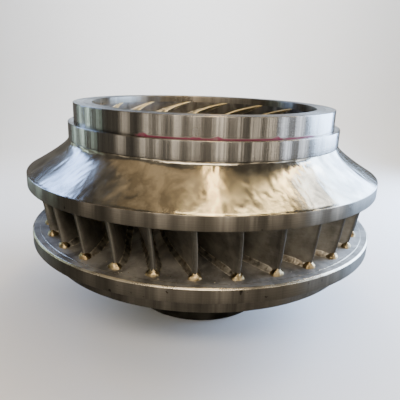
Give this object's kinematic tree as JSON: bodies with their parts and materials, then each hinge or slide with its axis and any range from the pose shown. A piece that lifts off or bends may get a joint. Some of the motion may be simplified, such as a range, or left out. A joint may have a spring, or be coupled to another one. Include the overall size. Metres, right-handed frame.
{
  "type": "francis turbine runner",
  "caption": "Welded stainless Francis turbine runner: a crown disc below, curved blades, and a trumpet-shaped band above with stepped seal rings round the outlet.",
  "frame": {"origin": "centre of the shaft hub's flat face, which the runner stands on", "axes": "+Z along the runner's axis, from the crown up to the band and its outlet; -Y towards the viewer of the picture"},
  "size_m": [1.212, 1.212, 0.726],
  "materials": {
    "ground_steel": "hand ground flow face, turned rim",
    "polished_band": "hand ground and polished in overlapping strokes",
    "turned_steel": "fine turned",
    "turned_back": "turned, duller",
    "blade_steel": "ground, with brighter inlet edges",
    "dark_hub": "dull dark steel, rough machined"
  },
  "bodies": {
    "root": {"crown": "ground_steel", "crown_hub": "ground_steel", "crown_seal_ring": "turned_back", "shaft_hub": "dark_hub", "band": "polished_band", "lower_seal_ring": "turned_steel", "upper_seal_ring": "turned_steel", "long_blade_01": "blade_steel", "long_blade_02": "blade_steel", "long_blade_03": "blade_steel", "long_blade_04": "blade_steel", "long_blade_05": "blade_steel", "long_blade_06": "blade_steel", "long_blade_07": "blade_steel", "long_blade_08": "blade_steel", "long_blade_09": "blade_steel", "long_blade_10": "blade_steel", "long_blade_11": "blade_steel", "long_blade_12": "blade_steel", "long_blade_13": "blade_steel", "long_blade_14": "blade_steel", "long_blade_15": "blade_steel", "short_blade_01": "blade_steel", "short_blade_02": "blade_steel", "short_blade_03": "blade_steel", "short_blade_04": "blade_steel", "short_blade_05": "blade_steel", "short_blade_06": "blade_steel", "short_blade_07": "blade_steel", "short_blade_08": "blade_steel", "short_blade_09": "blade_steel", "short_blade_10": "blade_steel", "short_blade_11": "blade_steel", "short_blade_12": "blade_steel", "short_blade_13": "blade_steel", "short_blade_14": "blade_steel", "short_blade_15": "blade_steel"}
  },
  "joints": []
}
